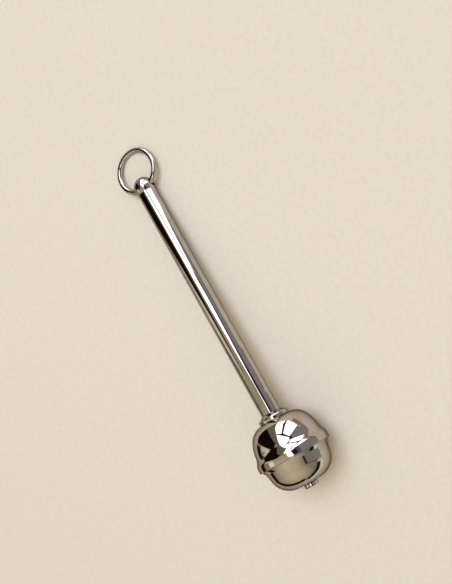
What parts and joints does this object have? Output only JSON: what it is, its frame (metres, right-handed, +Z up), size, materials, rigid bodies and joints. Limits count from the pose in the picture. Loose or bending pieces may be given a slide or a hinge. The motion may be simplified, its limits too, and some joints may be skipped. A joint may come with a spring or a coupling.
{
  "type": "aspergillum",
  "caption": "Hand-held holy-water sprinkler with a polished tube handle, a hanging ring and a round two-part head that holds a sponge and opens at a rim band.",
  "frame": {"origin": "on the table, under the middle of the object's length as it lies on its rim band, pommel and ring", "axes": "+X along the handle from the head towards the ring, +Z up from the table, +Y to the left when looking along +X"},
  "size_m": [0.2334, 0.0454, 0.0457],
  "materials": {
    "plated_brass": "mirror-polished plating, warm nickel tint",
    "steel": "turned, plain",
    "gasket": "matte black",
    "sponge": "open-pored sponge",
    "fibre": "pressed fibre"
  },
  "bodies": {
    "handle": {"pommel": "plated_brass", "handle_tube": "plated_brass", "collar": "plated_brass", "upper_shell": "plated_brass", "crown_washer": "steel", "crown_nut": "steel", "tie_rod": "steel", "rim_gasket": "gasket", "sponge": "sponge"},
    "ring": {"hanging_ring": "plated_brass"},
    "bowl": {"lower_bowl": "plated_brass"},
    "nut_washer": {"bottom_washer": "fibre"},
    "nut": {"bottom_nut": "plated_brass"}
  },
  "joints": [
    {"name": "ring_swing", "type": "hinge", "parent": "handle", "child": "ring", "pos_m": [0.08944, 0, 0.0066], "axis": [0, -1, 0], "range_deg": [0, 165]},
    {"name": "bowl_slide", "type": "slide", "parent": "handle", "child": "bowl", "axis": [-0.9961, 0, 0.0881], "range_m": [0, 0.045]},
    {"name": "nut_travel", "type": "slide", "parent": "bowl", "child": "nut_washer", "axis": [-0.9961, 0, 0.0881], "range_m": [0, 0.007]},
    {"name": "nut_turn", "type": "hinge", "parent": "nut_washer", "child": "nut", "pos_m": [-0.11637, 0, 0.02479], "axis": [-0.9961, 0, 0.0881], "range_deg": [0, 3600]}
  ],
  "couplings": [
    {"joint": "nut_turn", "follows": "nut_travel", "rad_per_m": 8976}
  ]
}
